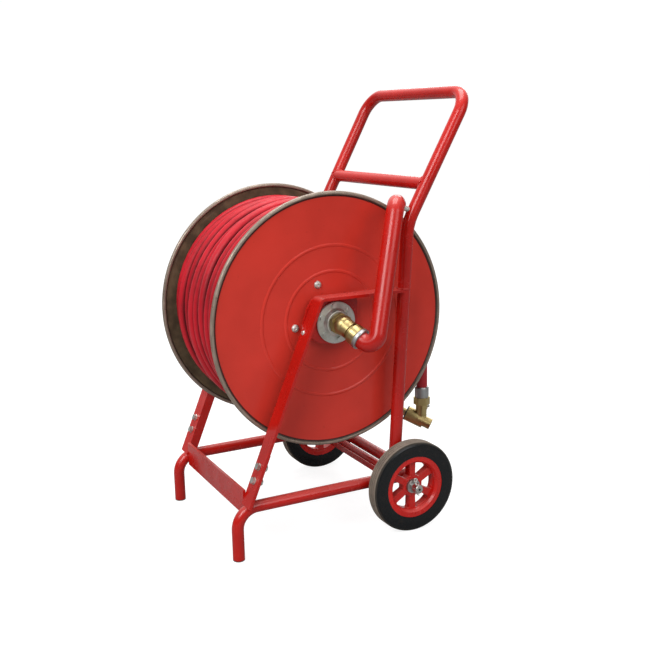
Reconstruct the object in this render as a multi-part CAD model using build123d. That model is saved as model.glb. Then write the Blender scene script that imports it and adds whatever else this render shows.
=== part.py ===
"""Garden hose reel cart: a tubular frame on two wheels that carries a drum of hose on a hollow shaft.

The model is drawn with the reel shaft along X, the feet towards -Y, the handle towards +Y and the floor
at Z = 0. It is moved at the end so that its origin is the middle of its base.
"""

import os
from math import asin, cos, degrees, pi, radians, sin, tan

from build123d import *

# Reel
SHAFT_Z = 488.0
DISC_R = 280.0
DISC_OUT_X = 159.0
DISC_THICK = 2.5
RIM_SECTION = 5.0
CORE_R = 153.5
CORE_WALL = 4.0
SHAFT_R = 17.0
SHAFT_BORE_R = 12.5
SHAFT_END_X = 194.0
RUNNING_GAP = 0.05

# Frame
TUBE_R = 14.0
TUBE_WALL = 2.0
UPRIGHT_FOOT = Vector(199, 131, 116)
UPRIGHT_BEND = Vector(205, 165, 692)
HANDLE_TOP = Vector(211, 317, 969)
CROSSBAR_UP = 0.30
CROSSBAR_R = 14.0
BASE_R = 13.0
BASE_X = 192.0
BASE_Z = 113.5
FOOT_Y = -250.0
BASE_BACK_Y = 185.0
CAP_HEIGHT = 2.5
HANDLE_RADII = [120, 50, 50, 120]
BASE_RADII = [45, 40, 40, 45]
STRAP_WIDE = 40.0
STRAP_THICK = 6.0
STRAP_X = 197.0
STRAP_TOP_Z = 547.0
STRAP_CORNER_Y = -50.0
STRAP_LEG_DEEP = 15.5
STRAP_LEG_THICK = 4.0
STRAP_LOW = Vector(STRAP_X, -230, 118)
STRAP_BOLTS_Z = (172.0, 201.0)
LUG_WIDE = 22.0

# Shaft bearings
PLATE_IN_X = 172.0
PLATE_THICK = 5.0
FLANGE_R = 46.0
BUSH_R = 20.0
FLANGE_BOLTS = 6
FLANGE_BOLT_R = 37.5
PLATE_SCREW = Vector(-10, 0, 0)

# Wheels
AXLE_R = 10.0
AXLE_Y = 157.0
WHEEL_R = 104.0
AXLE_END_X = 268.0
TYRE_IN_X = 216.5
TYRE_OUT_X = 251.5
SPOKES = 6
SPOKE_DEEP = 19.0
BOSS_OUT_X = 238.0
TYRE_LANDS = 4

# Hose and water way
HOSE_R = 13.0
WINDING_R = 248.0
WINDING_HALF = 155.5
TAIL_X = 112.0
TAIL_Y = 262.5
TAIL_LOW_Z = 275.0
TAIL_START = 35.0
PIPE_R = 19.0
PIPE_BORE_R = 16.0
PIPE_BENDS = [20, 30]
OUTLET_X = 136.0
OUTLET_R = 15.0
OUTLET_ANGLE = 148.0
OUTLET_RUN = 24.0
UNION_WAY = Vector(0.80, 0.36, -0.48)
UNION_AT = Vector(212, 0, SHAFT_Z)
PIPE_TOP = Vector(222, 126, 742)
PIPE_END_WAY = Vector(-0.80, 0.55, -0.22)
VALVE_R = 17.5
VALVE_WAY = Vector(0.65, 0.65, -0.38)
VALVE_AT = Vector(106, 257, 209)

X_WAY = Vector(1, 0, 0)
SIDES = {"right": 1, "left": -1}

nodes = {}


def add(name, shape):
    nodes[name] = shape


def on_axis(shape, origin, way):
    """Stands a shape that is drawn round +Z on a point, with +Z along a direction."""
    return Plane(origin=origin, z_dir=way) * shape


def turned(profile, origin=(0, 0, 0), way=(0, 0, 1)):
    """Revolves a closed outline of (radius, height) points round the axis through origin along way."""
    outline = make_face(Plane.XZ * Polyline(*profile, close=True))
    return on_axis(revolve(outline, Axis.Z), origin, way)


def ring(outer, inner, low, high, origin=(0, 0, 0), way=(0, 0, 1)):
    return turned([(inner, low), (outer, low), (outer, high), (inner, high)], origin, way)


def rod(radius, low, high, origin=(0, 0, 0), way=(0, 0, 1)):
    return on_axis(Pos(0, 0, (low + high) / 2) * Cylinder(radius, high - low), origin, way)


def hexagon(flats, low, high, origin=(0, 0, 0), way=(0, 0, 1)):
    face = RegularPolygon(flats / 2, 6, major_radius=False)
    return on_axis(Pos(0, 0, low) * extrude(face, high - low), origin, way)


def pipe(points, radii, outer, inner=0.0):
    """A round tube, or a rod where inner is 0, along straight runs joined by tangent arcs."""
    route = FilletPolyline(*points, radius=radii) if len(points) > 2 else Polyline(*points)
    section = Circle(outer) - Circle(inner) if inner else Circle(outer)
    return sweep(Plane(origin=route @ 0, z_dir=route % 0) * section, path=route)


def flat_bar(points, radii, wide, thick):
    """A flat bar whose width lies along X, along a route in a plane of constant X."""
    route = FilletPolyline(*points, radius=radii) if len(points) > 2 else Polyline(*points)
    section = Plane(origin=route @ 0, x_dir=X_WAY, z_dir=route % 0) * Rectangle(wide, thick)
    return sweep(section, path=route)


def mirrored(point):
    return Vector(-point.X, point.Y, point.Z)


def shaft_point(x):
    return (x, 0, SHAFT_Z)


def polar(radius, angle):
    """The Y and Z offsets of a point at that radius and angle from the shaft."""
    return radius * cos(radians(angle)), radius * sin(radians(angle))


# ---------------------------------------------------------------- frame


def handle_route():
    right = [UPRIGHT_FOOT, UPRIGHT_BEND, HANDLE_TOP]
    return [mirrored(p) for p in right] + right[::-1]


def base_route():
    foot = Vector(BASE_X, FOOT_Y, CAP_HEIGHT)
    knee = Vector(BASE_X, FOOT_Y, BASE_Z)
    back = Vector(BASE_X, BASE_BACK_Y, BASE_Z)
    right = [foot, knee, back]
    return right + [mirrored(p) for p in right[::-1]]


def strap_direction():
    corner = Vector(STRAP_X, STRAP_CORNER_Y, STRAP_TOP_Z)
    return (STRAP_LOW - corner).normalized()


def strap_point(z, behind=0.0):
    """A point of the right strap's middle line on its slope, moved back from its face."""
    corner = Vector(STRAP_X, STRAP_CORNER_Y, STRAP_TOP_Z)
    down = strap_direction()
    along = (z - corner.Z) / down.Z
    inward = Vector(0, -down.Z, down.Y)
    return corner + down * along + inward * behind


def make_frame():
    base_solid = pipe(base_route(), BASE_RADII, BASE_R)
    base_bore = pipe(base_route(), BASE_RADII, BASE_R - TUBE_WALL)
    handle_solid = pipe(handle_route(), HANDLE_RADII, TUBE_R)
    handle_bore = pipe(handle_route(), HANDLE_RADII, TUBE_R - TUBE_WALL)
    axle = rod(AXLE_R, -AXLE_END_X, AXLE_END_X, (0, AXLE_Y, WHEEL_R), X_WAY)
    axle = chamfer(axle.edges().filter_by(GeomType.CIRCLE), 1.5)
    pin_hole = rod(2.0, -20, 20)
    for side in SIDES.values():
        axle -= Pos(side * (AXLE_END_X - 17), AXLE_Y, WHEEL_R) * pin_hole
    add("axle", axle)
    add("base_tube", base_solid - base_bore - rod(AXLE_R, -230, 230, (0, AXLE_Y, WHEEL_R), X_WAY))
    add("handle_tube", handle_solid - handle_bore - base_solid)

    bar_at = UPRIGHT_BEND + (HANDLE_TOP - UPRIGHT_BEND) * CROSSBAR_UP
    bar = rod(CROSSBAR_R, -bar_at.X, bar_at.X, (0, bar_at.Y, bar_at.Z), X_WAY)
    bar_bore = rod(CROSSBAR_R - TUBE_WALL, -bar_at.X, bar_at.X, (0, bar_at.Y, bar_at.Z), X_WAY)
    add("handle_crossbar", bar - bar_bore - handle_solid)

    caps = []
    for side in SIDES.values():
        plug_r = BASE_R - TUBE_WALL
        profile = [(0, 0), (BASE_R - 1, 0), (BASE_R, 1), (BASE_R, CAP_HEIGHT), (plug_r, CAP_HEIGHT)]
        caps.append(turned(profile + [(plug_r, 20), (0, 20)], (side * BASE_X, FOOT_Y, 0)))
    add("foot_caps", Compound(caps))

    front_bar = Pos(0, FOOT_Y + 24, 120) * Box(2 * STRAP_X - STRAP_WIDE, STRAP_THICK, 56)
    add("front_crossbar", front_bar - base_solid)

    angle_half = BASE_X - BASE_R
    corner_y, low_z = AXLE_Y - AXLE_R - 5, WHEEL_R - AXLE_R
    web = Pos(0, corner_y + 1.5, low_z + 4) * Box(2 * angle_half, 3, 14)
    shelf = Pos(0, corner_y + 12.5, low_z - 1.5) * Box(2 * angle_half, 25, 3)
    add("axle_angle", web + shelf - base_solid)

    down = strap_direction()
    face_way = Vector(0, down.Z, -down.Y)
    strap_bolts = []
    for name, side in SIDES.items():
        strap_route = [
            Vector(STRAP_X, 156, STRAP_TOP_Z),
            Vector(STRAP_X, STRAP_CORNER_Y, STRAP_TOP_Z),
            STRAP_LOW,
        ]
        strap = flat_bar(strap_route, [9], STRAP_WIDE, STRAP_THICK)
        leg_behind = (STRAP_THICK + STRAP_LEG_DEEP) / 2
        leg_route = [strap_point(536, leg_behind), strap_point(STRAP_LOW.Z, leg_behind)]
        leg = flat_bar(leg_route, [], STRAP_LEG_THICK, STRAP_LEG_DEEP)
        strap += leg.translate(((STRAP_LEG_THICK - STRAP_WIDE) / 2, 0, 0))
        lug_route = [strap_point(228, STRAP_THICK), strap_point(116, STRAP_THICK)]
        lug = flat_bar(lug_route, [], LUG_WIDE, STRAP_THICK)
        screw_at = strap_point(475) + PLATE_SCREW
        strap -= rod(3.0, -10, 10, screw_at, face_way)
        for z in STRAP_BOLTS_Z:
            at = strap_point(z)
            hole = rod(4.2, -20, 20, at, face_way)
            strap -= hole
            lug -= hole
            bolt = rod(4, -16.5, 3, at, face_way) + hexagon(13, 3 + 1.6, 10, at, face_way)
            bolt += rod(8, 3, 4.6, at, face_way)
            nut = hexagon(13, -15, -9, at, face_way)
            strap_bolts.append(mirror_side(bolt + nut, side))
        strap = strap - handle_solid - base_solid - front_bar
        add(name + "_strap", mirror_side(strap, side))
        add(name + "_lug", mirror_side(lug - base_solid, side))
        make_bearing_plate(name, side)
        screw = rod(3, -5, 3, screw_at, face_way)
        screw += turned([(0, 3), (5.5, 3), (4.2, 5.5), (0, 6)], screw_at, face_way)
        add(name + "_plate_screw", mirror_side(screw, side))
    add("strap_bolts", Compound(strap_bolts))
    return handle_solid


def mirror_side(shape, side):
    """The right-hand shape itself, or its mirror image for the left."""
    return shape if side > 0 else mirror(shape, about=Plane.YZ)


def make_bearing_plate(name, side):
    outline = [(-55, 543.5), (-66, 525), (-76, 499), (-80, 478), (-44, 448), (-18, 441), (18, 441), (40, 452)]
    outline += [(54, 480), (54, 543.5)]
    face = make_face(Plane.YZ * Polyline(*outline, close=True))
    plate = Pos(PLATE_IN_X, 0, 0) * extrude(face, PLATE_THICK, dir=X_WAY)
    plate -= rod(BUSH_R, 0, 400, shaft_point(0), X_WAY)
    for hole in flange_bolt_places():
        plate -= rod(3.2, 0, 400, (0, hole[0], hole[1]), X_WAY)
    add(name + "_bearing_plate", mirror_side(plate, side))


def flange_bolt_places():
    places = []
    for i in range(FLANGE_BOLTS):
        y, z = polar(FLANGE_BOLT_R, 39 + i * 360 / FLANGE_BOLTS)
        places.append((y, SHAFT_Z + z))
    return places


def make_bearings():
    x0 = PLATE_IN_X + PLATE_THICK
    bolts = []
    for name, side in SIDES.items():
        profile = [(BUSH_R, x0), (FLANGE_R - 1.5, x0), (FLANGE_R, x0 + 1), (FLANGE_R, x0 + 4)]
        profile += [(FLANGE_R - 1.5, x0 + 5), (31, x0 + 5), (28, x0 + 8), (27, x0 + 14), (25.5, x0 + 15)]
        flange = turned(profile + [(BUSH_R, x0 + 15)], shaft_point(0), X_WAY)
        bush = ring(BUSH_R, SHAFT_R + RUNNING_GAP, PLATE_IN_X, x0 + 15, shaft_point(0), X_WAY)
        for y, z in flange_bolt_places():
            flange -= rod(3.2, 0, 400, (0, y, z), X_WAY)
            bolt = rod(3, x0 - 9, x0 + 5, (0, y, z), X_WAY) + hexagon(10, x0 + 5, x0 + 9, (0, y, z), X_WAY)
            bolt += hexagon(10, x0 - 9.5, x0 - 5, (0, y, z), X_WAY)
            bolts.append(mirror_side(bolt, side))
        add(name + "_bearing_flange", mirror_side(flange, side))
        add(name + "_bearing_bush", mirror_side(bush, side))
    add("flange_bolts", Compound(bolts))


def make_axle_washers():
    washers, pins = [], []
    for side in SIDES.values():
        inner = ring(15, AXLE_R, 206, 209, (0, AXLE_Y, WHEEL_R), X_WAY)
        outer = ring(16, AXLE_R, 241, 243.5, (0, AXLE_Y, WHEEL_R), X_WAY)
        washers += [mirror_side(inner, side), mirror_side(outer, side)]
        at = Vector(AXLE_END_X - 17, AXLE_Y, WHEEL_R)
        shank = Pos(at) * Cylinder(1.8, 30)
        eye = Pos(at + Vector(0, 0, 17)) * Rot(0, 90, 0) * Torus(4, 1.3)
        leg = rod(1.2, 0, 12, at + Vector(0, 0, -14), Vector(0, 0.8, -0.6))
        pins.append(mirror_side(shank + eye + leg, side))
    add("axle_washers", Compound(washers))
    add("split_pins", Compound(pins))


# ---------------------------------------------------------------- wheels


def spoke_window():
    """One opening between two spokes, drawn on the XY plane along +X."""
    inner_r, outer_r, half_step = 25.0, 55.0, 180 / SPOKES
    inner = half_step - degrees(asin(7.0 / inner_r))
    outer = half_step - degrees(asin(8.0 / outer_r))
    p = [polar(inner_r, -inner), polar(outer_r, -outer), polar(outer_r, outer), polar(inner_r, inner)]
    edge = Line(p[0], p[1]) + ThreePointArc(p[1], (outer_r, 0), p[2]) + Line(p[2], p[3]) + Line(p[3], p[0])
    face = make_face(edge)
    return fillet(face.vertices(), 3.5)


def make_wheel(name, side):
    hub_at = (0, AXLE_Y, WHEEL_R)
    low, high = TYRE_IN_X + 2, TYRE_OUT_X - 2
    rim = turned([(60, low), (71, low), (71, high), (60, high), (56, high - 5), (56, low + 5)], hub_at, X_WAY)
    web = ring(58, 12.5, BOSS_OUT_X - SPOKE_DEEP, BOSS_OUT_X, hub_at, X_WAY)
    for i in range(SPOKES):
        turn = 90 + (i + 0.5) * 360 / SPOKES
        window = extrude(spoke_window(), 60)
        placed = Plane(origin=(TYRE_IN_X - 10, AXLE_Y, WHEEL_R), x_dir=(0, 1, 0), z_dir=X_WAY)
        web -= placed * Rot(0, 0, turn) * window
    boss = ring(19, 12.5, 212, BOSS_OUT_X, hub_at, X_WAY)
    add(name + "_wheel_hub", mirror_side(rim + web + boss, side))
    bush_profile = [(AXLE_R + RUNNING_GAP, 210), (12.5, 210), (12.5, 238), (16.5, 238), (16.5, 240)]
    bush = turned(bush_profile + [(AXLE_R + RUNNING_GAP, 240)], hub_at, X_WAY)
    add(name + "_wheel_bush", mirror_side(bush, side))
    add(name + "_tyre", mirror_side(turned(tyre_profile(), hub_at, X_WAY), side))


def tyre_profile():
    """The tyre's section: (radius, x) points with four shallow grooves round the tread."""
    a, b, r = TYRE_IN_X, TYRE_OUT_X, WHEEL_R
    points = [(71, a + 1), (80, a), (97, a), (101.5, a + 2.5)]
    land = (b - a - 8) / TYRE_LANDS
    for i in range(TYRE_LANDS):
        x = a + 4 + land * i
        points += [(r, x), (r, x + land - 2), (r - 1.6, x + land - 1.5), (r - 1.6, x + land - 0.5)]
    points[-2:] = []
    return points + [(101.5, b - 2.5), (97, b), (80, b), (71, b - 1)]


# ---------------------------------------------------------------- reel


def disc_profile():
    """A flat pressed disc with two raised rings on its outer face."""
    inner, outer = DISC_OUT_X - DISC_THICK, DISC_OUT_X
    points = [(SHAFT_R, inner), (DISC_R - 6, inner), (DISC_R - 6, outer)]
    for middle in (0.59 * DISC_R, 0.39 * DISC_R):
        points += [(middle + 4, outer), (middle + 1.5, outer + 1.3), (middle - 1.5, outer + 1.3)]
        points += [(middle - 4, outer)]
    return points + [(SHAFT_R, outer)]


def disc_bolt_places():
    """The two bolts that hold the saddle, one each side of the outlet pipe."""
    y, z = polar(71.0, OUTLET_ANGLE)
    across_y, across_z = polar(52.5, OUTLET_ANGLE + 90)
    return [(y + k * across_y, SHAFT_Z + z + k * across_z) for k in (-1, 1)]


def make_reel():
    shaft = ring(SHAFT_R, SHAFT_BORE_R, -SHAFT_END_X, SHAFT_END_X, shaft_point(0), X_WAY)
    radial = Vector(0, *polar(1, OUTLET_ANGLE))
    around = Vector(0, *polar(1, OUTLET_ANGLE - 90))
    centre = Vector(OUTLET_X, 0, SHAFT_Z)
    ride_r = CORE_R + HOSE_R + 0.3
    outlet_route = [centre + radial * 15, centre + radial * ride_r, centre + radial * ride_r + around * OUTLET_RUN]
    outlet = pipe(outlet_route, [18], OUTLET_R, OUTLET_R - 3)
    shaft_solid = rod(SHAFT_R, -SHAFT_END_X, SHAFT_END_X, shaft_point(0), X_WAY)
    shaft -= rod(OUTLET_R - 3, 0, 40, centre, radial)
    add("hub_shaft", shaft)
    outlet_solid = pipe(outlet_route, [18], OUTLET_R)
    add("outlet_pipe", outlet - shaft_solid)
    ferrule_at = outlet_route[-1]
    add("outlet_ferrule", ring(HOSE_R + 1.5, HOSE_R - 4, 0, 28, ferrule_at, around))

    core = ring(CORE_R, CORE_R - CORE_WALL, -DISC_OUT_X + DISC_THICK, DISC_OUT_X - DISC_THICK)
    core = on_axis(core, shaft_point(0), X_WAY)
    ferrule_solid = rod(HOSE_R + 2, -4, 60, ferrule_at, around)
    elbow_room = outlet_solid + rod(OUTLET_R + 1, 100, ride_r, centre, radial)
    add("drum_core", core - elbow_room - ferrule_solid)
    for name, side in SIDES.items():
        disc = turned(disc_profile(), shaft_point(0), X_WAY)
        plate = ring(60, SHAFT_R, DISC_OUT_X - DISC_THICK - 5, DISC_OUT_X - DISC_THICK, shaft_point(0), X_WAY)
        if side > 0:
            for y, z in disc_bolt_places():
                disc -= rod(4.2, 0, 400, (0, y, z), X_WAY)
        plate = plate - outlet_solid if side > 0 else plate
        add(name + "_disc", mirror_side(disc, side))
        add(name + "_rim", mirror_side(rim_bead() - disc, side))
        add(name + "_hub_plate", mirror_side(plate, side))
    make_saddle(radial, around)

    plug = [(0, -8), (19, -8), (20, -7), (20, 0), (SHAFT_BORE_R, 0), (SHAFT_BORE_R, 15), (0, 15)]
    add("shaft_plug", turned(plug, shaft_point(-SHAFT_END_X), X_WAY))
    spigot = ring(SHAFT_BORE_R, 9.5, 178, 212, shaft_point(0), X_WAY)
    spigot += ring(15.95, 9.5, SHAFT_END_X, 212, shaft_point(0), X_WAY)
    add("swivel_spigot", spigot)

    winding = ring(WINDING_R, CORE_R, -WINDING_HALF, WINDING_HALF)
    winding = on_axis(winding, shaft_point(0), X_WAY)
    winding -= elbow_room + rod(OUTLET_R + 1.5, -25, 0, ferrule_at, around) + ferrule_solid
    winding -= Pos(ferrule_at) * Sphere(OUTLET_R + 4)
    add("hose_winding", winding)


def rim_bead():
    """The rolled rim bead, a ring with a round section about the disc's edge."""
    section = Plane.XZ * Pos(DISC_R - RIM_SECTION, DISC_OUT_X - DISC_THICK / 2, 0) * Circle(RIM_SECTION)
    return on_axis(revolve(section, Axis.Z), shaft_point(0), X_WAY)


def make_saddle(radial, around):
    """A bent strap that clamps the outlet pipe to the inside of the right disc."""
    inner_face = DISC_OUT_X - DISC_THICK
    depth = inner_face - OUTLET_X
    outer_r = OUTLET_R + 4
    bridge = Circle(outer_r) + Pos(0, depth / 2) * Rectangle(2 * outer_r, depth)
    feet = Pos(0, depth - 2) * Rectangle(130, 4)
    hollow = Circle(OUTLET_R) + Pos(0, depth / 2) * Rectangle(2 * OUTLET_R, depth)
    section = bridge + feet - hollow
    middle = Vector(OUTLET_X, 0, SHAFT_Z) + radial * 71.0
    local = Plane(origin=middle - radial * 10, x_dir=-around, z_dir=radial)
    saddle = local * extrude(section, 20)
    bolts = []
    for y, z in disc_bolt_places():
        saddle -= rod(4.2, 0, 400, (0, y, z), X_WAY)
        bolt = rod(4, inner_face - 12, DISC_OUT_X, (0, y, z), X_WAY)
        bolt += hexagon(13, inner_face - 11, inner_face - 4, (0, y, z), X_WAY)
        dome = [(0, 0), (8.6, 0), (8.6, 1), (7.6, 3), (5.6, 4.4), (3.4, 4.8), (3, 2), (0, 2)]
        bolts.append(bolt + turned(dome, (DISC_OUT_X, y, z), X_WAY))
    add("outlet_saddle", saddle)
    add("saddle_bolts", Compound(bolts))


# ---------------------------------------------------------------- inlet


def make_inlet(handle_solid):
    way = UNION_WAY.normalized()
    at = UNION_AT
    body = rod(22.5, 193, 197, shaft_point(0), X_WAY) + hexagon(44, 197, 206, shaft_point(0), X_WAY)
    body += rod(21, 206, at.X, shaft_point(0), X_WAY) + Pos(at) * Sphere(21)
    body += rod(20, 0, 22, at, way) + rod(16.5, 22, 28, at, way)
    body -= rod(15.95 + RUNNING_GAP, 190, 212.5, shaft_point(0), X_WAY)
    body -= rod(SHAFT_R + 1, 190, SHAFT_END_X + 0.5, shaft_point(0), X_WAY)
    body -= rod(11, -4, 40, at, way)
    body -= ring(18, 15, 200, 203, shaft_point(0), X_WAY)
    add("swivel_body", body)
    add("swivel_seal", ring(18, 15.95 + RUNNING_GAP, 200, 203, shaft_point(0), X_WAY))
    nut = turned([(11, 28), (21, 28), (23, 30), (23, 45), (22, 47), (11, 47)], at, way)
    add("inlet_nut", nut)
    pipe_start = at + way * 49
    ferrule = [(11, 47), (23.5, 47), (24.2, 48), (24.2, 54), (23, 55.5), (PIPE_R, 55.5), (PIPE_R, 49), (11, 49)]
    add("inlet_ferrule", turned(ferrule, at, way))
    low_corner = at + way * 96
    end_way = PIPE_END_WAY.normalized()
    end = PIPE_TOP + end_way * 44
    route = [pipe_start, low_corner, PIPE_TOP, end]
    outer = pipe(route, PIPE_BENDS, PIPE_R)
    add("inlet_pipe", outer - pipe(route, PIPE_BENDS, PIPE_BORE_R))
    coupling = [(12, -12), (PIPE_BORE_R, -12), (PIPE_BORE_R, 0), (18.5, 0), (18.5, 6), (12, 6)]
    add("inlet_coupling", turned(coupling, end, end_way))
    stay_from = PIPE_TOP + end_way * 26
    leg_way = (HANDLE_TOP - UPRIGHT_BEND).normalized()
    leg_point = UPRIGHT_BEND + leg_way * ((stay_from - UPRIGHT_BEND).dot(leg_way))
    gap_way = (leg_point - stay_from).normalized()
    stay = rod(6, 0, (leg_point - stay_from).length, stay_from, gap_way)
    add("pipe_clip", stay - outer - handle_solid - rod(19, 0, 30, end, end_way))


# ---------------------------------------------------------------- hose end


def tail_route():
    bend = Vector(TAIL_X, TAIL_Y, SHAFT_Z + TAIL_Y * tan(radians(TAIL_START / 2)))
    y, z = polar(TAIL_Y, TAIL_START)
    return [Vector(TAIL_X, y, SHAFT_Z + z), bend, Vector(TAIL_X, TAIL_Y, TAIL_LOW_Z)]


def corner_radius(route):
    """The largest arc that both runs beside the corner allow."""
    before, after = route[1] - route[0], route[2] - route[1]
    turn = before.get_angle(after)
    return 0.45 * min(before.length, after.length) / tan(radians(turn / 2)), turn


def make_tail():
    route = tail_route()
    radius, turn = corner_radius(route)
    tube = pipe(route, [radius], HOSE_R)
    runs = sum((b - a).length for a, b in zip(route, route[1:]))
    length = runs - 2 * radius * tan(radians(turn / 2)) + radius * radians(turn)
    print(f"tail: arc {radius:.0f} mm through {turn:.0f} degrees, length {length:.0f} mm,",
          f"volume / (section x length) {tube.volume / (pi * HOSE_R ** 2 * length):.4f}")
    add("hose_tail", tube)
    foot = (TAIL_X, TAIL_Y, 0)
    low = TAIL_LOW_Z
    ferrule = [(9, low - 11), (16.3, low - 11), (16.6, low - 9), (16.6, low + 12), (15.6, low + 15)]
    add("hose_ferrule", turned(ferrule + [(HOSE_R, low + 15), (HOSE_R, low), (9, low)], foot))
    nut = hexagon(35, low - 28, low - 11, foot) & rod(19.5, low - 28, low - 11, foot)
    nut = nut - rod(9, 0, 400, foot)
    add("hose_nut", nut)

    way = VALVE_WAY.normalized()
    body = rod(VALVE_R, -30, 14, VALVE_AT, way) + rod(13, 14, 32, VALVE_AT, way)
    neck_top = Vector(TAIL_X, TAIL_Y, low - 28)
    meet = VALVE_AT + way * 6
    neck = rod(13, 0, (neck_top - meet).length, meet, neck_top - meet)
    body += neck & Pos(TAIL_X, TAIL_Y, low - 28 - 100) * Box(200, 200, 200)
    body += rod(14, low - 40, low - 28, foot)
    body -= rod(9, 8, 60, VALVE_AT, way)
    body -= rod(6.05, -60, 10, VALVE_AT, way)
    body -= rod(9, low - 45, low - 20, foot)
    screw_at = Vector(TAIL_X, TAIL_Y, low - 36)
    screw = rod(2.5, 11, 20, screw_at, (0, 1, 0)) + rod(4, 17, 20, screw_at, (0, 1, 0))
    body -= rod(2.5, 11, 20, screw_at, (0, 1, 0))
    add("valve_body", body)
    add("stop_screw", screw)
    add("stem_seal", ring(VALVE_R, 6.05, -33, -30, VALVE_AT, way))
    stem = rod(6, -52, 6, VALVE_AT, way)
    knob = turned([(0, -64), (11, -64), (13, -62), (13, -53), (9, -47), (9, -33.4), (0, -33.4)], VALVE_AT, way)
    add("valve_knob", stem + knob)


CORD_NODES = {
    "hose_winding", "hose_tail", "hose_ferrule", "hose_nut", "valve_body", "stop_screw", "stem_seal", "valve_knob",
}


def main():
    handle_solid = make_frame()
    make_bearings()
    make_axle_washers()
    for name, side in SIDES.items():
        make_wheel(name, side)
    make_reel()
    make_inlet(handle_solid)
    make_tail()
    own = [shape for name, shape in nodes.items() if name not in CORD_NODES]
    box = Compound(own).bounding_box()
    shift = Vector(-(box.min.X + box.max.X) / 2, -(box.min.Y + box.max.Y) / 2, -box.min.Z)
    print("moved by", [round(v, 3) for v in shift], "size", box.size)
    os.makedirs("parts", exist_ok=True)
    for name, shape in nodes.items():
        export_step(shape.translate(shift), f"parts/{name}.step")
    print(len(nodes), "nodes")


main()
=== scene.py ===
"""Garden hose reel cart: finishes, wound hose and small detail for the CAD frame."""

from math import atan2, cos, pi, radians, sin, sqrt

import bmesh
import bpy
from mathutils import Matrix, Vector


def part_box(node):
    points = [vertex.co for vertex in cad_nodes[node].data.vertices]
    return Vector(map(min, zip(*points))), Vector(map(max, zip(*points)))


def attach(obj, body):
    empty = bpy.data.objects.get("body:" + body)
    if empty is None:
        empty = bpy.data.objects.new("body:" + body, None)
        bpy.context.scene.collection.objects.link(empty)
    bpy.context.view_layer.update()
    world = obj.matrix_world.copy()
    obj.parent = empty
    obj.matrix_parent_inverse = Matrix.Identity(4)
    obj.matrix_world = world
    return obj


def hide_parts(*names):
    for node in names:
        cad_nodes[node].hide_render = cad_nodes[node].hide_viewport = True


bl_info = {
    "name": "Garden hose reel cart",
    "version": (1, 0, 0),
    "blender": (4, 5, 0),
    "location": "View3D > Sidebar > Hose cart",
    "description": "Winds the hose and finishes a two-wheeled garden hose reel cart",
    "category": "Object",
}

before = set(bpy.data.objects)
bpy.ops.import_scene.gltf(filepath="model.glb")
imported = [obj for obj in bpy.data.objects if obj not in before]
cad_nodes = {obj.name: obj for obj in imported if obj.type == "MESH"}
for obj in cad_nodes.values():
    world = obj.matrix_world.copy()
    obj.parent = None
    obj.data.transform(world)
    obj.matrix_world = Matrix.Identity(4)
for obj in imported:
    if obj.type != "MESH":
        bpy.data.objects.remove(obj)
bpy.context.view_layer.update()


def middle(node):
    low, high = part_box(node)
    return (Vector(low) + Vector(high)) / 2


REEL = middle("hub_shaft")
AXLE = middle("axle")


# ---------------------------------------------------------------- settings


class HoseSettings(bpy.types.PropertyGroup):
    diameter: bpy.props.FloatProperty(
        name="Diameter", description="Outside diameter of the hose", default=0.026, unit="LENGTH"
    )
    half_width: bpy.props.FloatProperty(
        name="Half width", description="Middle of the reel to the last turn's centre",
        default=0.1423, unit="LENGTH",
    )
    first_radius: bpy.props.FloatProperty(
        name="First layer", description="Radius of the lowest layer's centre line", default=0.1670,
        unit="LENGTH",
    )
    layer_step: bpy.props.FloatProperty(
        name="Layer step", description="Radius gained by each layer", default=0.0240, unit="LENGTH"
    )
    whole_length: bpy.props.FloatProperty(
        name="Whole length", description="Length the hose is sold in, wound and hanging",
        default=50.0, unit="LENGTH",
    )
    hanging_length: bpy.props.FloatProperty(
        name="Hanging length", description="Hose between the reel and its end ferrule",
        default=0.376, unit="LENGTH",
    )
    colour: bpy.props.FloatVectorProperty(
        name="Hose colour", description="Colour of clean hose", subtype="COLOR", size=3,
        default=(0.50, 0.0080, 0.0190),
    )


class PaintSettings(bpy.types.PropertyGroup):
    frame_red: bpy.props.FloatVectorProperty(
        name="Frame red", description="Enamel on the tubes and bars", subtype="COLOR", size=3,
        default=(0.50, 0.0090, 0.0050),
    )
    disc_red: bpy.props.FloatVectorProperty(
        name="Disc red", description="Enamel on the outer face of the discs", subtype="COLOR",
        size=3, default=(0.60, 0.0400, 0.0260),
    )
    wheel_red: bpy.props.FloatVectorProperty(
        name="Wheel red", description="Colour of the spoked wheel centres", subtype="COLOR", size=3,
        default=(0.62, 0.012, 0.008),
    )
    primer: bpy.props.FloatVectorProperty(
        name="Primer brown", description="Bare primed steel inside the reel", subtype="COLOR",
        size=3, default=(0.092, 0.064, 0.036),
    )
    rim_brown: bpy.props.FloatVectorProperty(
        name="Rim brown", description="Rolled rim of each disc", subtype="COLOR", size=3,
        default=(0.30, 0.235, 0.185),
    )


class MetalSettings(bpy.types.PropertyGroup):
    zinc: bpy.props.FloatVectorProperty(
        name="Zinc", description="Plated bearing flanges and fasteners", subtype="COLOR", size=3,
        default=(0.74, 0.76, 0.72),
    )
    brass: bpy.props.FloatVectorProperty(
        name="Brass", description="Water fittings", subtype="COLOR", size=3,
        default=(0.46, 0.36, 0.16),
    )
    aluminium: bpy.props.FloatVectorProperty(
        name="Aluminium", description="Crimped ferrules", subtype="COLOR", size=3,
        default=(0.44, 0.45, 0.45),
    )


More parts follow.
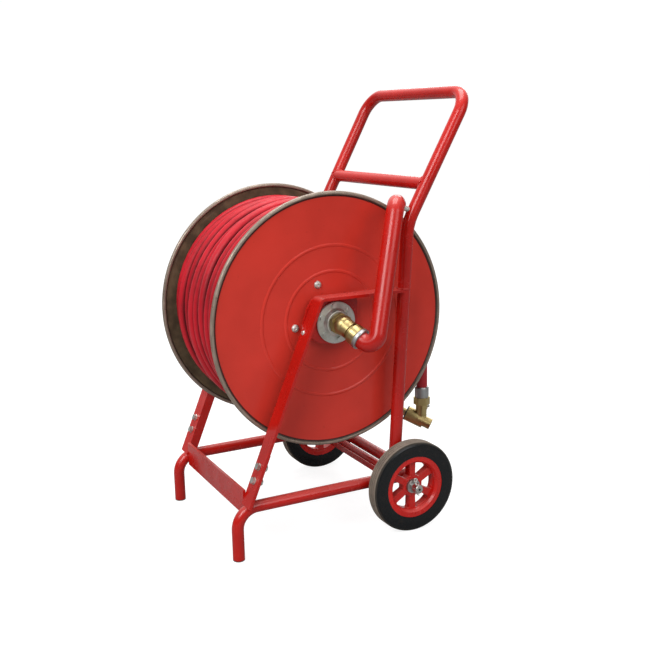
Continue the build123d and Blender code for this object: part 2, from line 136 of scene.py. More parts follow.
class RubberSettings(bpy.types.PropertyGroup):
    tyre: bpy.props.FloatVectorProperty(
        name="Tyre black", description="Side of the tyre", subtype="COLOR", size=3,
        default=(0.007, 0.008, 0.009),
    )
    dust: bpy.props.FloatVectorProperty(
        name="Dust", description="Dry dust on the tread and the low parts", subtype="COLOR", size=3,
        default=(0.21, 0.175, 0.14),
    )


class StageSettings(bpy.types.PropertyGroup):
    eye: bpy.props.FloatVectorProperty(
        name="Eye", description="Where the camera stands", subtype="XYZ", unit="LENGTH", size=3,
        default=(1.94343, -0.95757, 0.91899),
    )
    azimuth: bpy.props.FloatProperty(
        name="Azimuth", description="Direction of view round the cart", subtype="ANGLE",
        default=radians(63.14),
    )
    elevation: bpy.props.FloatProperty(
        name="Elevation", description="How far the camera looks down", subtype="ANGLE",
        default=radians(12.36),
    )
    roll: bpy.props.FloatProperty(
        name="Roll", description="Lean of the camera", subtype="ANGLE", default=radians(-1.14)
    )
    lens: bpy.props.FloatProperty(
        name="Lens", description="Focal length of the camera in millimetres", default=52.87
    )


# ---------------------------------------------------------------- material building


class Finish:
    """A procedural material, built up from noise, masks and bumps on Object coordinates."""

    def __init__(self, name, colour, roughness, metallic=0.0):
        self.material = bpy.data.materials.new(name)
        self.material.use_nodes = True
        self.tree = self.material.node_tree
        self.shader = self.tree.nodes["Principled BSDF"]
        self.shader.inputs["Base Color"].default_value = (*colour, 1)
        self.shader.inputs["Roughness"].default_value = roughness
        self.shader.inputs["Metallic"].default_value = metallic
        self.material.diffuse_color = (*colour, 1)
        self.place = self.tree.nodes.new("ShaderNodeTexCoord").outputs["Object"]

    def node(self, kind, **values):
        made = self.tree.nodes.new(kind)
        for key, value in values.items():
            setattr(made, key, value)
        return made

    def feed(self, socket, value):
        if isinstance(value, bpy.types.NodeSocket):
            self.tree.links.new(value, socket)
        elif isinstance(value, (tuple, list)) and len(value) == 3 and socket.type == "RGBA":
            socket.default_value = (*value, 1)
        else:
            socket.default_value = value

    def centred(self, centre, scale=(1, 1, 1)):
        """Object coordinates measured from a centre, then scaled."""
        moved = self.node("ShaderNodeVectorMath", operation="SUBTRACT")
        self.feed(moved.inputs[0], self.place)
        moved.inputs[1].default_value = centre
        scaled = self.node("ShaderNodeVectorMath", operation="MULTIPLY")
        self.feed(scaled.inputs[0], moved.outputs[0])
        scaled.inputs[1].default_value = scale
        return scaled.outputs[0]

    def noise(self, scale, detail=4.0, rough=0.55, vector=None, stretch=None):
        made = self.node("ShaderNodeTexNoise")
        if stretch:
            vector = self.centred((0, 0, 0), stretch)
        self.feed(made.inputs["Vector"], vector or self.place)
        made.inputs["Scale"].default_value = scale
        made.inputs["Detail"].default_value = detail
        made.inputs["Roughness"].default_value = rough
        return made.outputs["Fac"]

    def span(self, value, low, high, to_low=0.0, to_high=1.0):
        """Maps low..high to to_low..to_high with soft ends."""
        made = self.node("ShaderNodeMapRange", interpolation_type="SMOOTHSTEP")
        self.feed(made.inputs["Value"], value)
        made.inputs["From Min"].default_value = low
        made.inputs["From Max"].default_value = high
        made.inputs["To Min"].default_value = to_low
        made.inputs["To Max"].default_value = to_high
        return made.outputs["Result"]

    def sum(self, operation, a, b=0.0):
        made = self.node("ShaderNodeMath", operation=operation)
        self.feed(made.inputs[0], a)
        self.feed(made.inputs[1], b)
        return made.outputs[0]

    def mix(self, factor, a, b):
        made = self.node("ShaderNodeMix", data_type="RGBA")
        self.feed(made.inputs[0], factor)
        self.feed(made.inputs[6], a)
        self.feed(made.inputs[7], b)
        return made.outputs[2]

    def axes(self, vector):
        made = self.node("ShaderNodeSeparateXYZ")
        self.feed(made.inputs[0], vector)
        return made.outputs

    def round_shaft(self, centre):
        """Distance from an axis along X, the angle round it, and the place along it."""
        x, y, z = self.axes(self.centred(centre))
        squares = self.sum("ADD", self.sum("MULTIPLY", y, y), self.sum("MULTIPLY", z, z))
        radius = self.sum("SQRT", squares)
        return radius, self.sum("ARCTAN2", z, y), x

    def joined(self, x, y, z):
        made = self.node("ShaderNodeCombineXYZ")
        for socket, value in zip(made.inputs, (x, y, z)):
            self.feed(socket, value)
        return made.outputs[0]

    def facing_up(self):
        made = self.node("ShaderNodeNewGeometry")
        return self.axes(made.outputs["Normal"])[2]

    def colour(self, value):
        self.feed(self.shader.inputs["Base Color"], value)

    def roughness(self, value):
        self.feed(self.shader.inputs["Roughness"], value)

    def bump(self, height, strength, distance):
        made = self.node("ShaderNodeBump")
        self.feed(made.inputs["Height"], height)
        made.inputs["Strength"].default_value = strength
        made.inputs["Distance"].default_value = distance
        before = self.shader.inputs["Normal"].links
        if before:
            self.feed(made.inputs["Normal"], before[0].from_socket)
        self.feed(self.shader.inputs["Normal"], made.outputs["Normal"])


def tinted(colour, by):
    return tuple(min(1.0, c * by) for c in colour)


def dusted(finish, colour, dust, amount):
    """Dust that settles on faces that look up, in patches."""
    patches = finish.span(finish.noise(14, 5), 0.40, 0.75)
    up = finish.span(finish.facing_up(), 0.2, 0.95)
    return finish.mix(finish.sum("MULTIPLY", finish.sum("MULTIPLY", patches, up), amount), colour, dust)


def enamel(name, red, dust, roughness=0.20):
    """Sprayed gloss enamel: slight orange peel, cloudy gloss, fine rub marks, a little dust, and a
    painted pink highlight on faces that look up.
    """
    paint = Finish(name, red, roughness)
    clouds = paint.span(paint.noise(7, 3), 0.3, 0.7)
    body = paint.mix(clouds, tinted(red, 0.86), tinted(red, 1.12))
    rubs = paint.span(paint.noise(160, 2, stretch=(1.0, 1.0, 0.10)), 0.70, 0.77)
    body = paint.mix(paint.sum("MULTIPLY", rubs, 0.12), body, tinted(red, 0.45))
    # painted highlight: a pale pink reflection of the overhead light mixed into faces that look up
    up = paint.span(paint.facing_up(), 0.35, 0.98)
    body = paint.mix(paint.sum("MULTIPLY", up, 0.22), body, (0.75, 0.26, 0.23))
    body = dusted(paint, body, dust, 0.05)
    paint.colour(body)
    cloud_gloss = paint.span(paint.noise(26, 4), 0.3, 0.7, roughness * 0.8, roughness * 1.5)
    paint.roughness(paint.sum("ADD", cloud_gloss, paint.sum("MULTIPLY", rubs, 0.12)))
    paint.bump(paint.noise(420, 2), 0.012, 0.0005)
    paint.bump(paint.noise(45, 2), 0.012, 0.002)
    paint.shader.inputs["Specular IOR Level"].default_value = 0.45
    return paint


def plated(name, colour, roughness, tarnish, tarnish_amount):
    """Metal with fine grain, cloudy tarnish and small dark pits."""
    metal = Finish(name, colour, roughness, 1.0)
    clouds = metal.span(metal.noise(38, 5), 0.42, 0.70)
    body = metal.mix(metal.sum("MULTIPLY", clouds, tarnish_amount), colour, tarnish)
    pits = metal.span(metal.noise(330, 2), 0.66, 0.74)
    body = metal.mix(metal.sum("MULTIPLY", pits, 0.5), body, tinted(tarnish, 0.5))
    metal.colour(body)
    metal.roughness(metal.span(metal.noise(60, 4), 0.3, 0.7, roughness * 0.75, roughness * 1.35))
    metal.bump(metal.noise(520, 3), 0.12, 0.0004)
    return metal


def finish_nodes(finish, names):
    for name in names:
        node = cad_nodes[name]
        if not node.data.materials:
            node.data.materials.append(finish.material)
        for i in range(len(node.data.materials)):
            node.data.materials[i] = finish.material
        for place in node.material_slots:
            place.material = finish.material


# ---------------------------------------------------------------- mesh helpers


def place_mesh(name, mesh_maker, finish, body):
    """Turns a finished bmesh into an object that rides on a body."""
    mesh = bpy.data.meshes.new(name)
    bmesh.ops.recalc_face_normals(mesh_maker, faces=mesh_maker.faces)
    mesh_maker.to_mesh(mesh)
    mesh_maker.free()
    for face in mesh.polygons:
        face.use_smooth = True
    mesh.materials.append(finish)
    made = bpy.data.objects.new(name, mesh)
    bpy.context.scene.collection.objects.link(made)
    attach(made, body)
    return made


def weld_row(maker, points, size):
    """Lays overlapping weld drops along a seam."""
    for point in points:
        bmesh.ops.create_icosphere(maker, subdivisions=2, radius=size, matrix=Matrix.Translation(point))


def read_material(name):
    return bpy.data.materials[name]


# ---------------------------------------------------------------- camera


class HOSECART_OT_camera(bpy.types.Operator):
    """Stand the camera where the whole cart is seen from its inlet side"""

    bl_idname = "hosecart.camera"
    bl_label = "Camera"

    def execute(self, context):
        stage = context.scene.hosecart_stage
        az, el, roll = stage.azimuth, stage.elevation, stage.roll
        back = Vector((sin(az) * cos(el), -cos(az) * cos(el), sin(el)))
        right = (-back).cross(Vector((0, 0, 1))).normalized()
        up = right.cross(-back)
        leaned_right = right * cos(roll) + up * sin(roll)
        leaned_up = up * cos(roll) - right * sin(roll)
        lens = bpy.data.cameras.new("camera")
        lens.lens = stage.lens
        lens.shift_x = 0.0022
        lens.shift_y = 0.0028
        camera = bpy.data.objects.new("camera", lens)
        turn = Matrix((leaned_right, leaned_up, back)).transposed().to_4x4()
        camera.matrix_world = Matrix.Translation(stage.eye) @ turn
        context.scene.collection.objects.link(camera)
        context.scene.camera = camera
        return {"FINISHED"}


# ---------------------------------------------------------------- hose


OUTLET_ANGLE = radians(148)
OUTLET_X = REEL.x + 0.136
FERRULE_END = 0.052
FERRULE_RADIUS = 0.1668
TAIL_START = radians(35)
TAIL_RADIUS = 0.2625
TAIL_X = REEL.x + 0.112
LAYER_TURNS = (10.2, 10.2, 10.3)
WHOLE_TURNS = 39
PER_TURN = 16
LAST_LAYER_X = 0.098


def round_reel(radius, angle, x):
    return Vector((x, REEL.y + radius * cos(angle), REEL.z + radius * sin(angle)))


def ease(value):
    value = min(1.0, max(0.0, value))
    return value * value * (3 - 2 * value)


def winding_points(hose):
    """Control points of the wound hose, from the outlet to where it leaves the reel."""
    radial = Vector((0, cos(OUTLET_ANGLE), sin(OUTLET_ANGLE)))
    along = Vector((0, cos(OUTLET_ANGLE - pi / 2), sin(OUTLET_ANGLE - pi / 2)))
    centre = Vector((OUTLET_X, REEL.y, REEL.z))
    ferrule = centre + radial * FERRULE_RADIUS
    points = [ferrule + along * (FERRULE_END - 0.020), ferrule + along * (FERRULE_END + 0.012)]
    start = OUTLET_ANGLE - atan2(FERRULE_END + 0.03, FERRULE_RADIUS)
    total = start - TAIL_START + 2 * pi * WHOLE_TURNS
    last_turns = total / (2 * pi) - sum(LAYER_TURNS)
    turns = (*LAYER_TURNS, last_turns)
    low, high = REEL.x - hose.half_width, REEL.x + hose.half_width
    ends = ((OUTLET_X, low), (low, high), (high, low), (low, REEL.x + LAST_LAYER_X))
    steps = round(total / (2 * pi) * PER_TURN)
    outward = 1 / cos(pi / PER_TURN)
    for i in range(1, steps - 1):
        turn = i * total / (2 * pi) / steps
        layer, done = 0, turn
        while layer < 3 and done > turns[layer]:
            done -= turns[layer]
            layer += 1
        share = done / turns[layer]
        dwell = 0.45 / turns[layer]
        crossed = min(1, max(0, (share - dwell) / (1 - 2 * dwell)))
        x = ends[layer][0] + (ends[layer][1] - ends[layer][0]) * crossed
        radius = hose.first_radius + hose.layer_step * layer
        if layer < 3:
            radius += hose.layer_step * 0.5 * ease((done - turns[layer] + 0.2) / 0.2)
        if layer > 0:
            radius -= hose.layer_step * 0.5 * (1 - ease(done / 0.2))
        angle = start - turn * 2 * pi
        clear = cos((angle - OUTLET_ANGLE + radians(12)) % (2 * pi))
        if 0 < layer < 3 and x > OUTLET_X - 0.03 and clear > 0.7:
            radius += 0.012 * ease((clear - 0.7) / 0.3)
        if layer == 3:
            loose = ease(min(done, last_turns - done) / 0.8)
            slant = 0.0015 + 0.0150 * share
            x += loose * (slant * sin(angle - 2.5) + 0.0030 * sin(2 * angle + 1.1 + 2.3 * done))
            x = min(x, REEL.x + LAST_LAYER_X + 0.002)
            settled = loose * (1 - ease((share - 0.74) / 0.10))
            radius += settled * (0.0030 * sin(2.4 * done + 0.5) + 0.0022 * sin(2 * angle + 1.9 * done))
            leaving = ease((done - last_turns + 0.32) / 0.32)
            radius += leaving * (TAIL_RADIUS - 0.004 - radius)
            x += leaving * (TAIL_X - 0.001 - x)
        points.append(round_reel(radius * outward, angle, x))
    return points


def tail_points():
    """Control points of the hanging hose, from where it leaves the reel down to its ferrule."""
    join = round_reel(TAIL_RADIUS, TAIL_START, TAIL_X)
    along = Vector((0, sin(TAIL_START), -cos(TAIL_START)))
    back_y = REEL.y + TAIL_RADIUS
    return [
        join,
        join + along * 0.028,
        Vector((TAIL_X, back_y - 0.0075, REEL.z + 0.0900)),
        Vector((TAIL_X, back_y + 0.0010, REEL.z + 0.0480)),
        Vector((TAIL_X, back_y, REEL.z - 0.0100)),
        Vector((TAIL_X, back_y, REEL.z - 0.0900)),
        Vector((TAIL_X, back_y, REEL.z - 0.2130)),
    ]


def hose_curve(name, points, diameter, finish, resolution):
    line = bpy.data.curves.new(name, "CURVE")
    line.dimensions = "3D"
    line.bevel_depth = diameter / 2
    line.bevel_resolution = 4
    line.resolution_u = resolution
    line.use_fill_caps = True
    run = line.splines.new("NURBS")
    run.points.add(len(points) - 1)
    for control, point in zip(run.points, points):
        control.co = (*point, 1)
    run.order_u = 3
    run.use_endpoint_u = True
    line.materials.append(finish)
    made = bpy.data.objects.new(name, line)
    bpy.context.scene.collection.objects.link(made)
    return made


def hose_finish(name, base, dust):
    """Soft reinforced hose: satin skin, scuffs along it, pale bloom where turns rub, painted shade in
    the gaps between turns and a painted highlight on their tops.
    """
    skin = Finish(name, base, 0.5)
    tone = skin.span(skin.noise(9, 4), 0.30, 0.70)
    body = skin.mix(tone, tinted(base, 0.80), tinted(base, 1.18))
    bloom = skin.span(skin.noise(55, 5), 0.46, 0.74)
    body = skin.mix(skin.sum("MULTIPLY", bloom, 0.18), body, (0.55, 0.040, 0.055))
    radius = skin.round_shaft(REEL)[0]
    # painted shade: the hose is darkened deep in the gaps between turns, by distance from the reel's
    # axis
    painted_gap_shade = skin.span(radius, 0.2415, 0.2508, 0.96, 0.0)
    body = skin.mix(painted_gap_shade, body, (0.030, 0.0015, 0.003))
    # painted highlight: the tops of the outer turns are lightened
    painted_crest_highlight = skin.span(radius, 0.2490, 0.2560, 0.0, 0.45)
    body = skin.mix(painted_crest_highlight, body, (0.62, 0.050, 0.065))
    grime = skin.span(skin.noise(120, 4), 0.60, 0.72)
    body = skin.mix(skin.sum("MULTIPLY", grime, 0.25), body, (0.09, 0.012, 0.014))
    body = dusted(skin, body, dust, 0.05)
    skin.colour(body)
    satin = skin.span(skin.noise(40, 4), 0.3, 0.7, 0.34, 0.52)
    skin.roughness(skin.sum("ADD", satin, skin.sum("MULTIPLY", painted_gap_shade, 0.45)))
    skin.bump(skin.noise(700, 3), 0.22, 0.0004)
    skin.bump(skin.noise(60, 3), 0.08, 0.0012)
    skin.shader.inputs["Specular IOR Level"].default_value = 0.22
    return skin


class HOSECART_OT_hose(bpy.types.Operator):
    """Wind four layers of hose on the reel and hang its free end behind"""

    bl_idname = "hosecart.hose"
    bl_label = "Hose"

    def execute(self, context):
        hose = context.scene.hosecart_hose
        dust = tuple(context.scene.hosecart_rubber.dust)
        skin = hose_finish("hose_skin", tuple(hose.colour), dust).material
        # painted shade: the hanging end gets a copy of the hose finish darkened to 0.55, for the shade
        # it hangs in
        shade_darkened_skin = hose_finish("worn_hose_skin", tinted(tuple(hose.colour), 0.55), dust).material
        turns = winding_points(hose)
        join = tail_points()
        turns += [join[0] * 2 - join[1], join[0]]
        wound = hose_curve("hose_turns", turns, hose.diameter, skin, 4)
        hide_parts("hose_winding")
        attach(wound, "reel")
        end = hose_curve("hose_end", join, hose.diameter, shade_darkened_skin, 16)
        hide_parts("hose_tail")
        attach(end, "cart_frame")
        return {"FINISHED"}


# ---------------------------------------------------------------- painted steel


class HOSECART_OT_frame_paint(bpy.types.Operator):
    """Finish the tube frame, straps, bearing plates and water pipe in gloss enamel"""

    bl_idname = "hosecart.frame_paint"
    bl_label = "Frame paint"

    def execute(self, context):
        paint = context.scene.hosecart_paint
        dust = tuple(context.scene.hosecart_rubber.dust)
        red = enamel("frame_enamel", tuple(paint.frame_red), dust)
        finish_nodes(red, [
            "handle_tube", "handle_crossbar", "base_tube", "front_crossbar", "axle_angle",
            "left_strap", "right_strap",
            "left_lug", "right_lug", "left_bearing_plate", "right_bearing_plate",
        ])
        pipe_red = enamel("pipe_enamel", tuple(paint.frame_red), dust, 0.22)
        finish_nodes(pipe_red, ["inlet_pipe"])
        wheel = enamel("wheel_enamel", tuple(paint.wheel_red), dust, 0.24)
        finish_nodes(wheel, ["left_wheel_hub", "right_wheel_hub"])
        return {"FINISHED"}


CROSSBAR_R = 0.014
LEG_R = 0.014
RUNNER_R = 0.013
LEG_WAY = Vector((0, 152, 277)).normalized()
UPRIGHT_WAY = Vector((6, 34, 576)) / 576
UPRIGHT_FOOT = Vector((0.199, 0.131, 0.116))
RUNNER_X = 0.192
RUNNER_Z = 0.1135
STRAP_TOP_Z = 0.5505
WELD_DROP = 0.0021


def crossbar_seam(bar, side, leg_x):
    """The curve where a crossbar's round wall meets the round wall of the handle's leg."""
    across = LEG_WAY.cross(Vector((1, 0, 0)))
    seam = []
    for i in range(44):
        turn = 2 * pi * i / 44
        deep = sqrt(max(0.0, LEG_R**2 - (CROSSBAR_R * cos(turn)) ** 2))
        out = across * cos(turn) + LEG_WAY * sin(turn)
        on_axis = Vector((bar.x + side * (leg_x - deep - 0.0008), bar.y, bar.z))
        seam.append(on_axis + out * (CROSSBAR_R + 0.0004))
    return seam


def upright_seams(origin, side):
    """The seams of an upright on its runner, and of the side strap on the upright."""
    seams = []
    for i in range(40):
        turn = 2 * pi * i / 40
        x, y = UPRIGHT_FOOT.x + LEG_R * cos(turn), UPRIGHT_FOOT.y + LEG_R * sin(turn)
        beside = x - RUNNER_X
        if abs(beside) < RUNNER_R * 0.94:
            seams.append(Vector((x, y, RUNNER_Z + sqrt(RUNNER_R**2 - beside**2) + 0.0006)))
    at = UPRIGHT_FOOT + UPRIGHT_WAY * (STRAP_TOP_Z - UPRIGHT_FOOT.z)
    for i in range(21):
        turn = pi + pi * i / 20
        seams.append(at + Vector((LEG_R * cos(turn), LEG_R * sin(turn), 0)))
    return [Vector((origin.x + side * p.x, origin.y + p.y, origin.z + p.z)) for p in seams]


class HOSECART_OT_welds(bpy.types.Operator):
    """Lay painted weld beads where the frame's tubes and straps meet"""

    bl_idname = "hosecart.welds"
    bl_label = "Weld beads"

    def execute(self, context):
        bar = middle("handle_crossbar")
        half = (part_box("handle_crossbar")[1][0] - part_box("handle_crossbar")[0][0]) / 2
        origin = Vector((bar.x, REEL.y, 0))
        maker = bmesh.new()
        for side in (-1, 1):
            weld_row(maker, crossbar_seam(bar, side, half), WELD_DROP)
            weld_row(maker, upright_seams(origin, side), WELD_DROP)
        place_mesh("weld_beads", maker, read_material("frame_enamel"), "cart_frame")
        return {"FINISHED"}


class HOSECART_OT_reel_paint(bpy.types.Operator):
    """Finish the reel discs, their rolled rims and the drum"""

    bl_idname = "hosecart.reel_paint"
    bl_label = "Reel paint"

    def execute(self, context):
        paint = context.scene.hosecart_paint
        dust = tuple(context.scene.hosecart_rubber.dust)
        red, primer = tuple(paint.disc_red), tuple(paint.primer)
        disc = Finish("disc_enamel", red, 0.22)
        radius, angle, x = disc.round_shaft(REEL)
        rings = disc.joined(disc.sum("MULTIPLY", radius, 90), disc.sum("MULTIPLY", angle, 1.4), 0.0)
        clouds = disc.span(disc.noise(5, 3), 0.3, 0.7)
        outside = disc.mix(clouds, tinted(red, 0.90), tinted(red, 1.10))
        marks = disc.span(disc.noise(90, 3), 0.66, 0.74)
        outside = disc.mix(disc.sum("MULTIPLY", marks, 0.18), outside, tinted(red, 0.5))
        # painted shade: a near-black ring where the disc meets the rolled rim
        painted_gap_shade = disc.span(radius, 0.2672, 0.2692)
        outside = disc.mix(painted_gap_shade, outside, (0.030, 0.014, 0.012))
        grain = disc.span(disc.noise(30, 5), 0.35, 0.70)
        inside = disc.mix(grain, tinted(primer, 0.70), tinted(primer, 1.45))
        rubbed = disc.span(disc.noise(1.0, 3, vector=rings), 0.58, 0.75)
        inside = disc.mix(disc.sum("MULTIPLY", rubbed, 0.5), inside, (0.24, 0.17, 0.14))
        inner_face = disc.span(disc.sum("ABSOLUTE", x), 0.1574, 0.1582, 1.0, 0.0)
        disc.colour(disc.mix(inner_face, outside, inside))
        gloss = disc.span(disc.noise(11, 4), 0.3, 0.7, 0.17, 0.27)
        disc.roughness(disc.sum("ADD", gloss, disc.sum("MULTIPLY", inner_face, 0.40)))
        disc.bump(disc.noise(3.2, 2), 0.20, 0.010)
        disc.bump(disc.noise(420, 2), 0.04, 0.0005)
        disc.shader.inputs["Specular IOR Level"].default_value = 0.25
        finish_nodes(disc, ["left_disc", "right_disc"])

        brown = tuple(paint.rim_brown)
        rim = Finish("rim_steel", brown, 0.35, 0.35)
        radius, angle, x = rim.round_shaft(REEL)
        round_about = rim.joined(rim.sum("MULTIPLY", angle, 9), rim.sum("MULTIPLY", radius, 300), x)
        worn = rim.span(rim.noise(1.2, 5, vector=round_about), 0.45, 0.68)
        body = rim.mix(worn, tinted(brown, 0.85), tinted(brown, 1.25))
        chips = rim.span(rim.noise(95, 3), 0.66, 0.74)
        body = rim.mix(rim.sum("MULTIPLY", chips, 0.5), body, (0.09, 0.06, 0.045))
        # painted shade: a dark line in the fold where the rim meets the disc
        painted_fold_shade = rim.span(radius, 0.2718, 0.2738, 1.0, 0.0)
        body = rim.mix(rim.sum("MULTIPLY", painted_fold_shade, 0.85), body, (0.035, 0.024, 0.018))
        rim.colour(dusted(rim, body, dust, 0.2))
        rim.roughness(rim.span(rim.noise(50, 4), 0.3, 0.7, 0.25, 0.50))
        rim.bump(rim.noise(240, 3), 0.18, 0.0008)
        finish_nodes(rim, ["left_rim", "right_rim"])

        drum = Finish("drum_primer", primer, 0.6)
        tone = drum.span(drum.noise(24, 5), 0.35, 0.70)
        drum.colour(drum.mix(tone, tinted(primer, 0.7), tinted(primer, 1.4)))
        drum.roughness(drum.span(drum.noise(60, 4), 0.3, 0.7, 0.45, 0.75))
        drum.bump(drum.noise(260, 3), 0.2, 0.0006)
        finish_nodes(drum, [
            "drum_core", "left_hub_plate", "right_hub_plate", "outlet_pipe", "outlet_saddle",
        ])
        return {"FINISHED"}


# ---------------------------------------------------------------- bare metal


class HOSECART_OT_metals(bpy.types.Operator):
    """Finish the plated steel, brass, bronze and aluminium parts"""

    bl_idname = "hosecart.metals"
    bl_label = "Metals"

    def execute(self, context):
        metal = context.scene.hosecart_metal
        zinc = plated("zinc_plate", tuple(metal.zinc), 0.42, (0.36, 0.37, 0.32), 0.6)
        finish_nodes(zinc, [
            "left_bearing_flange", "right_bearing_flange", "flange_bolts", "strap_bolts",
            "left_plate_screw", "right_plate_screw", "split_pins", "saddle_bolts", "pipe_clip",
            "hub_shaft", "shaft_plug", "stop_screw",
        ])
        steel = plated("axle_steel", (0.60, 0.59, 0.57), 0.22, (0.30, 0.26, 0.22), 0.35)
        radius = steel.round_shaft(AXLE)[0]
        # painted shade: the centre-drill hole at each axle end is painted near black
        painted_dimple_shade = steel.span(radius, 0.0022, 0.0036, 1.0, 0.0)
        coloured = steel.shader.inputs["Base Color"].links[0].from_socket
        steel.colour(steel.mix(painted_dimple_shade, coloured, (0.02, 0.02, 0.02)))
        turned = steel.sum("SINE", steel.sum("MULTIPLY", radius, 9000))
        steel.bump(turned, 0.10, 0.0002)
        along = steel.sum("ABSOLUTE", steel.sum("SUBTRACT", steel.axes(steel.place)[0], AXLE.x))
        painted = steel.span(along, 0.1900, 0.1915, 1.0, 0.0)
        bare = steel.shader.inputs["Base Color"].links[0].from_socket
        steel.colour(steel.mix(painted, bare, tuple(context.scene.hosecart_paint.frame_red)))
        steel.feed(steel.shader.inputs["Metallic"], steel.sum("SUBTRACT", 1.0, painted))
        finish_nodes(steel, ["axle"])
        plain = plated("washer_steel", (0.45, 0.44, 0.43), 0.30, (0.25, 0.20, 0.18), 0.45)
        finish_nodes(plain, ["axle_washers", "left_wheel_bush", "right_wheel_bush"])
        bronze = plated("bronze", (0.46, 0.29, 0.13), 0.38, (0.10, 0.06, 0.03), 0.6)
        finish_nodes(bronze, ["left_bearing_bush", "right_bearing_bush"])
        brass = plated("brass", tuple(metal.brass), 0.42, (0.26, 0.18, 0.08), 0.5)
        finish_nodes(brass, ["swivel_body", "swivel_spigot", "inlet_coupling"])
        bright = plated("bright_brass", tinted(tuple(metal.brass), 1.10), 0.36, (0.36, 0.25, 0.10), 0.4)
        finish_nodes(bright, ["inlet_nut", "valve_knob", "valve_body", "hose_nut"])
        silver = plated("ferrule_aluminium", tuple(metal.aluminium), 0.45, (0.34, 0.34, 0.33), 0.5)
        finish_nodes(silver, ["inlet_ferrule", "outlet_ferrule", "hose_ferrule"])
        return {"FINISHED"}


# ---------------------------------------------------------------- rubber


class HOSECART_OT_rubber(bpy.types.Operator):
    """Finish the tyres, seals and foot caps"""

    bl_idname = "hosecart.rubber"
    bl_label = "Rubber"

    def execute(self, context):
        rubber = context.scene.hosecart_rubber
        black, dust = tuple(rubber.tyre), tuple(rubber.dust)
        tyre = Finish("tyre_rubber", black, 0.55)
        radius = tyre.round_shaft(AXLE)[0]
        tread = tyre.span(radius, 0.0985, 0.1030)
        land = tyre.span(radius, 0.1026, 0.1037)
        dusty = tyre.span(tyre.noise(34, 5), 0.30, 0.70, 0.55, 1.0)
        grey = tyre.mix(dusty, tinted(dust, 0.50), tinted(dust, 1.30))
        side = tyre.mix(tyre.span(tyre.noise(60, 5), 0.50, 0.80), black, tinted(dust, 0.08))
        outer = tyre.mix(land, tinted(dust, 0.22), grey)
        tyre.colour(tyre.mix(tread, side, outer))
        tyre.roughness(tyre.span(tread, 0.0, 1.0, 0.24, 0.85))
        mould = tyre.span(tyre.sum("SINE", tyre.sum("MULTIPLY", radius, 620)), 0.6, 1.0)
        tyre.bump(mould, 0.25, 0.0008)
        tyre.bump(tyre.noise(300, 4), 0.12, 0.0005)
        tyre.shader.inputs["Specular IOR Level"].default_value = 0.28
        finish_nodes(tyre, ["left_tyre", "right_tyre"])
        soft = Finish("soft_rubber", (0.02, 0.02, 0.02), 0.6)
        wear = soft.span(soft.noise(70, 5), 0.40, 0.75)
        soft.colour(soft.mix(wear, (0.016, 0.015, 0.014), tinted(dust, 0.45)))
        soft.roughness(soft.span(soft.noise(50, 4), 0.3, 0.7, 0.5, 0.8))
        soft.bump(soft.noise(400, 3), 0.25, 0.0004)
        finish_nodes(soft, ["swivel_seal", "stem_seal", "foot_caps"])
        return {"FINISHED"}


# ---------------------------------------------------------------- stage


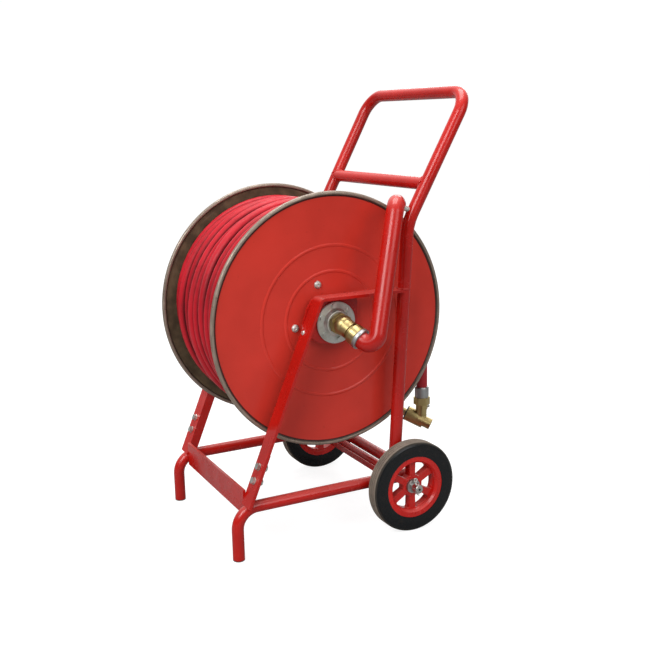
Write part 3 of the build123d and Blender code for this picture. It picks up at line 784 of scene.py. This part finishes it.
class HOSECART_OT_stage(bpy.types.Operator):
    """Lay a pale floor and hang soft studio lights"""

    bl_idname = "hosecart.stage"
    bl_label = "Stage"

    def execute(self, context):
        maker = bmesh.new()
        bmesh.ops.create_grid(maker, x_segments=1, y_segments=1, size=14)
        mesh = bpy.data.meshes.new("floor")
        maker.to_mesh(mesh)
        maker.free()
        pale = Finish("floor_paper", (0.30, 0.30, 0.30), 0.9)
        pale.colour(pale.mix(pale.noise(3), (0.29, 0.29, 0.29), (0.31, 0.31, 0.31)))
        pale.shader.inputs["Specular IOR Level"].default_value = 0.0
        pale.shader.inputs["Emission Color"].default_value = (1, 1, 1, 1)
        glow = pale.node("ShaderNodeLightPath").outputs["Is Camera Ray"]
        pale.feed(pale.shader.inputs["Emission Strength"], pale.sum("MULTIPLY", glow, 0.84))
        mesh.materials.append(pale.material)
        floor = bpy.data.objects.new("floor", mesh)
        context.scene.collection.objects.link(floor)
        sky = bpy.data.worlds.new("studio")
        sky.use_nodes = True
        tree = sky.node_tree
        room = tree.nodes["Background"]
        direction = tree.nodes.new("ShaderNodeTexCoord").outputs["Generated"]
        parts = tree.nodes.new("ShaderNodeSeparateXYZ")
        tree.links.new(direction, parts.inputs[0])
        rise = tree.nodes.new("ShaderNodeMapRange")
        rise.inputs["From Min"].default_value = 0.10
        rise.inputs["From Max"].default_value = 0.80
        rise.inputs["To Min"].default_value = 0.12
        rise.inputs["To Max"].default_value = 0.60
        tree.links.new(parts.outputs[2], rise.inputs["Value"])
        away = tree.nodes.new("ShaderNodeVectorMath")
        away.operation = "DOT_PRODUCT"
        away.inputs[1].default_value = (-0.89, 0.45, 0.0)
        tree.links.new(direction, away.inputs[0])
        behind = tree.nodes.new("ShaderNodeMapRange")
        behind.inputs["From Min"].default_value = 0.35
        behind.inputs["From Max"].default_value = 0.90
        behind.inputs["To Max"].default_value = 0.75
        tree.links.new(away.outputs["Value"], behind.inputs["Value"])
        both = tree.nodes.new("ShaderNodeMath")
        tree.links.new(rise.outputs["Result"], both.inputs[0])
        tree.links.new(behind.outputs["Result"], both.inputs[1])
        tree.links.new(both.outputs[0], room.inputs["Strength"])
        backdrop = tree.nodes.new("ShaderNodeBackground")
        backdrop.inputs["Strength"].default_value = 1.02
        seen = tree.nodes.new("ShaderNodeLightPath")
        either = tree.nodes.new("ShaderNodeMixShader")
        tree.links.new(seen.outputs["Is Camera Ray"], either.inputs[0])
        tree.links.new(room.outputs[0], either.inputs[1])
        tree.links.new(backdrop.outputs[0], either.inputs[2])
        tree.links.new(either.outputs[0], tree.nodes["World Output"].inputs["Surface"])
        room.inputs["Color"].default_value = (1, 1, 1, 1)
        backdrop.inputs["Color"].default_value = (1, 1, 1, 1)
        context.scene.world = sky
        context.scene.view_settings.view_transform = "Standard"
        lights = (
            ("key_light", (1.9, -2.9, 2.8), 2.2, 104),
            ("side_light", (3.4, 0.9, 2.2), 2.0, 32),
            ("top_light", (-0.3, 0.2, 3.4), 2.0, 66),
            ("back_light", (-2.4, 2.4, 2.2), 1.8, 30),
        )
        for name, place, size, power in lights:
            lamp = bpy.data.lights.new(name, "AREA")
            lamp.size = size
            lamp.energy = power
            made = bpy.data.objects.new(name, lamp)
            aim = (Vector((0, 0, 0.45)) - Vector(place)).to_track_quat("-Z", "Y")
            made.matrix_world = Matrix.Translation(place) @ aim.to_matrix().to_4x4()
            context.scene.collection.objects.link(made)
        return {"FINISHED"}


class HOSECART_PT_panel(bpy.types.Panel):
    """The cart's settings and its building steps"""

    bl_idname = "HOSECART_PT_panel"
    bl_label = "Hose reel cart"
    bl_space_type = "VIEW_3D"
    bl_region_type = "UI"
    bl_category = "Hose cart"

    def draw(self, context):
        for step in STEPS:
            self.layout.operator(step.bl_idname)
        for key in SETTINGS:
            group = getattr(context.scene, key)
            for name in group.bl_rna.properties.keys():
                if name not in ("rna_type", "name"):
                    self.layout.prop(group, name)


SETTINGS = {
    "hosecart_hose": HoseSettings,
    "hosecart_paint": PaintSettings,
    "hosecart_metal": MetalSettings,
    "hosecart_rubber": RubberSettings,
    "hosecart_stage": StageSettings,
}
STEPS = (
    HOSECART_OT_camera,
    HOSECART_OT_hose,
    HOSECART_OT_frame_paint,
    HOSECART_OT_welds,
    HOSECART_OT_reel_paint,
    HOSECART_OT_metals,
    HOSECART_OT_rubber,
    HOSECART_OT_stage,
)


def register():
    for group in SETTINGS.values():
        bpy.utils.register_class(group)
    for key, group in SETTINGS.items():
        setattr(bpy.types.Scene, key, bpy.props.PointerProperty(type=group))
    for step in (*STEPS, HOSECART_PT_panel):
        bpy.utils.register_class(step)


def unregister():
    for step in (HOSECART_PT_panel, *reversed(STEPS)):
        bpy.utils.unregister_class(step)
    for key in SETTINGS:
        delattr(bpy.types.Scene, key)
    for group in SETTINGS.values():
        bpy.utils.unregister_class(group)


def main():
    register()
    bpy.ops.hosecart.camera()
    bpy.ops.hosecart.hose()
    bpy.ops.hosecart.frame_paint()
    bpy.ops.hosecart.welds()
    bpy.ops.hosecart.reel_paint()
    bpy.ops.hosecart.metals()
    bpy.ops.hosecart.rubber()
    bpy.ops.hosecart.stage()


if __name__ == "__main__":
    main()
